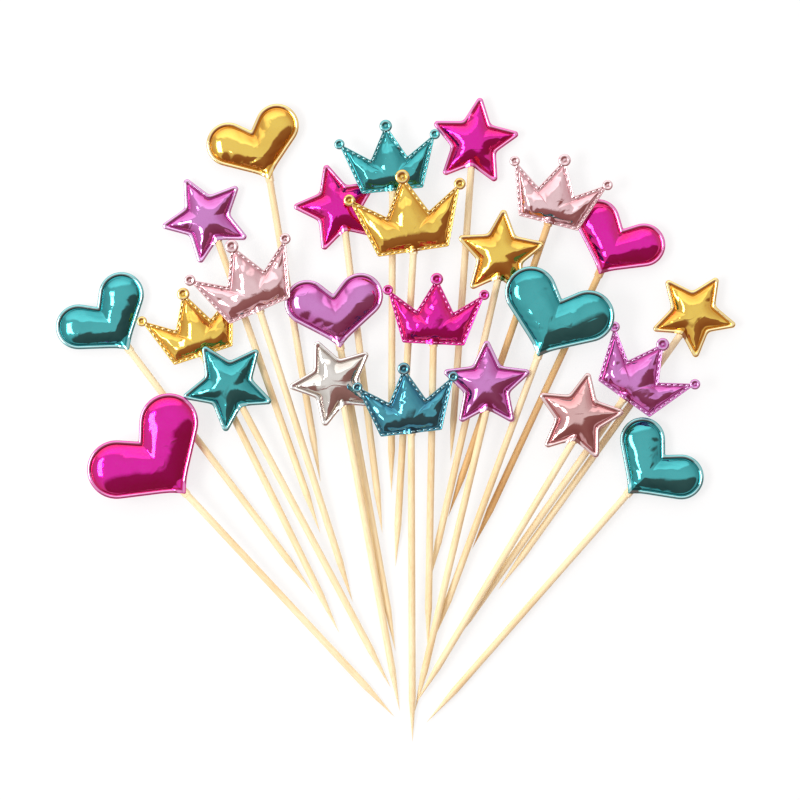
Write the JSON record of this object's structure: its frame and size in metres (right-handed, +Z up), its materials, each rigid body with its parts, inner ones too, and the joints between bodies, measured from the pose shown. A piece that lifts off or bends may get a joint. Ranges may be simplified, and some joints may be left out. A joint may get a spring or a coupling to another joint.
{
  "type": "cake topper set",
  "caption": "Fan of padded foil hearts, stars and crowns, each glued over a pointed bamboo stick that is pushed into a cake.",
  "frame": {"origin": "middle of the fan's bounding box, on the table that it lies on", "axes": "+X across the fan, +Y from the stick points towards the heads, +Z up from the table"},
  "size_m": [0.2932, 0.2782, 0.021],
  "materials": {
    "gold_foil": "metallic foil film over sponge",
    "teal_foil": "metallic foil film over sponge",
    "blue_foil": "metallic foil film over sponge",
    "magenta_foil": "metallic foil film over sponge",
    "purple_foil": "metallic foil film over sponge",
    "pink_foil": "metallic foil film over sponge",
    "rose_foil": "metallic foil film over sponge",
    "silver_foil": "metallic foil film over sponge",
    "bamboo": "sanded, bare"
  },
  "bodies": {
    "gold_heart": {"gold_heart_pads": "gold_foil", "gold_heart_stick": "bamboo"},
    "purple_star_left": {"purple_star_left_pads": "purple_foil", "purple_star_left_stick": "bamboo"},
    "teal_heart_left": {"teal_heart_left_pads": "teal_foil", "teal_heart_left_stick": "bamboo"},
    "magenta_star_left": {"magenta_star_left_pads": "magenta_foil", "magenta_star_left_stick": "bamboo"},
    "magenta_star_top": {"magenta_star_top_pads": "magenta_foil", "magenta_star_top_stick": "bamboo"},
    "magenta_heart_right": {"magenta_heart_right_pads": "magenta_foil", "magenta_heart_right_stick": "bamboo"},
    "gold_star_right": {"gold_star_right_pads": "gold_foil", "gold_star_right_stick": "bamboo"},
    "teal_crown": {"teal_crown_pads": "teal_foil", "teal_crown_stick": "bamboo"},
    "gold_crown_middle": {"gold_crown_middle_pads": "gold_foil", "gold_crown_middle_stick": "bamboo"},
    "pink_crown_right": {"pink_crown_right_pads": "pink_foil", "pink_crown_right_stick": "bamboo"},
    "gold_crown_left": {"gold_crown_left_pads": "gold_foil", "gold_crown_left_stick": "bamboo"},
    "purple_heart": {"purple_heart_pads": "purple_foil", "purple_heart_stick": "bamboo"},
    "pink_crown_left": {"pink_crown_left_pads": "pink_foil", "pink_crown_left_stick": "bamboo"},
    "purple_crown": {"purple_crown_pads": "purple_foil", "purple_crown_stick": "bamboo"},
    "gold_star_middle": {"gold_star_middle_pads": "gold_foil", "gold_star_middle_stick": "bamboo"},
    "teal_heart_middle": {"teal_heart_middle_pads": "teal_foil", "teal_heart_middle_stick": "bamboo"},
    "magenta_crown": {"magenta_crown_pads": "magenta_foil", "magenta_crown_stick": "bamboo"},
    "teal_star": {"teal_star_pads": "teal_foil", "teal_star_stick": "bamboo"},
    "silver_star": {"silver_star_pads": "silver_foil", "silver_star_stick": "bamboo"},
    "purple_star_middle": {"purple_star_middle_pads": "purple_foil", "purple_star_middle_stick": "bamboo"},
    "rose_star": {"rose_star_pads": "rose_foil", "rose_star_stick": "bamboo"},
    "blue_crown": {"blue_crown_pads": "blue_foil", "blue_crown_stick": "bamboo"},
    "magenta_heart_left": {"magenta_heart_left_pads": "magenta_foil", "magenta_heart_left_stick": "bamboo"},
    "teal_heart_right": {"teal_heart_right_pads": "teal_foil", "teal_heart_right_stick": "bamboo"}
  },
  "joints": [
    {"name": "purple_star_left_lift", "type": "slide", "parent": "gold_heart", "child": "purple_star_left", "axis": [0, 0, 1], "range_m": [0, 0.04]},
    {"name": "teal_heart_left_lift", "type": "slide", "parent": "purple_star_left", "child": "teal_heart_left", "axis": [0, 0, 1], "range_m": [0, 0.04]},
    {"name": "magenta_star_left_lift", "type": "slide", "parent": "teal_heart_left", "child": "magenta_star_left", "axis": [0, 0, 1], "range_m": [0, 0.04]},
    {"name": "magenta_star_top_lift", "type": "slide", "parent": "magenta_star_left", "child": "magenta_star_top", "axis": [0, 0, 1], "range_m": [0, 0.04]},
    {"name": "magenta_heart_right_lift", "type": "slide", "parent": "magenta_star_top", "child": "magenta_heart_right", "axis": [0, 0, 1], "range_m": [0, 0.04]},
    {"name": "gold_star_right_lift", "type": "slide", "parent": "magenta_heart_right", "child": "gold_star_right", "axis": [0, 0, 1], "range_m": [0, 0.04]},
    {"name": "teal_crown_lift", "type": "slide", "parent": "gold_star_right", "child": "teal_crown", "axis": [0, 0, 1], "range_m": [0, 0.04]},
    {"name": "gold_crown_middle_lift", "type": "slide", "parent": "teal_crown", "child": "gold_crown_middle", "axis": [0, 0, 1], "range_m": [0, 0.04]},
    {"name": "pink_crown_right_lift", "type": "slide", "parent": "gold_crown_middle", "child": "pink_crown_right", "axis": [0, 0, 1], "range_m": [0, 0.04]},
    {"name": "gold_crown_left_lift", "type": "slide", "parent": "pink_crown_right", "child": "gold_crown_left", "axis": [0, 0, 1], "range_m": [0, 0.04]},
    {"name": "purple_heart_lift", "type": "slide", "parent": "gold_crown_left", "child": "purple_heart", "axis": [0, 0, 1], "range_m": [0, 0.04]},
    {"name": "pink_crown_left_lift", "type": "slide", "parent": "purple_heart", "child": "pink_crown_left", "axis": [0, 0, 1], "range_m": [0, 0.04]},
    {"name": "purple_crown_lift", "type": "slide", "parent": "pink_crown_left", "child": "purple_crown", "axis": [0, 0, 1], "range_m": [0, 0.04]},
    {"name": "gold_star_middle_lift", "type": "slide", "parent": "purple_crown", "child": "gold_star_middle", "axis": [0, 0, 1], "range_m": [0, 0.04]},
    {"name": "teal_heart_middle_lift", "type": "slide", "parent": "gold_star_middle", "child": "teal_heart_middle", "axis": [0, 0, 1], "range_m": [0, 0.04]},
    {"name": "magenta_crown_lift", "type": "slide", "parent": "teal_heart_middle", "child": "magenta_crown", "axis": [0, 0, 1], "range_m": [0, 0.04]},
    {"name": "teal_star_lift", "type": "slide", "parent": "magenta_crown", "child": "teal_star", "axis": [0, 0, 1], "range_m": [0, 0.04]},
    {"name": "silver_star_lift", "type": "slide", "parent": "teal_star", "child": "silver_star", "axis": [0, 0, 1], "range_m": [0, 0.04]},
    {"name": "purple_star_middle_lift", "type": "slide", "parent": "silver_star", "child": "purple_star_middle", "axis": [0, 0, 1], "range_m": [0, 0.04]},
    {"name": "rose_star_lift", "type": "slide", "parent": "purple_star_middle", "child": "rose_star", "axis": [0, 0, 1], "range_m": [0, 0.04]},
    {"name": "blue_crown_lift", "type": "slide", "parent": "rose_star", "child": "blue_crown", "axis": [0, 0, 1], "range_m": [0, 0.04]},
    {"name": "magenta_heart_left_lift", "type": "slide", "parent": "blue_crown", "child": "magenta_heart_left", "axis": [0, 0, 1], "range_m": [0, 0.04]},
    {"name": "teal_heart_right_lift", "type": "slide", "parent": "magenta_heart_left", "child": "teal_heart_right", "axis": [0, 0, 1], "range_m": [0, 0.04]}
  ]
}
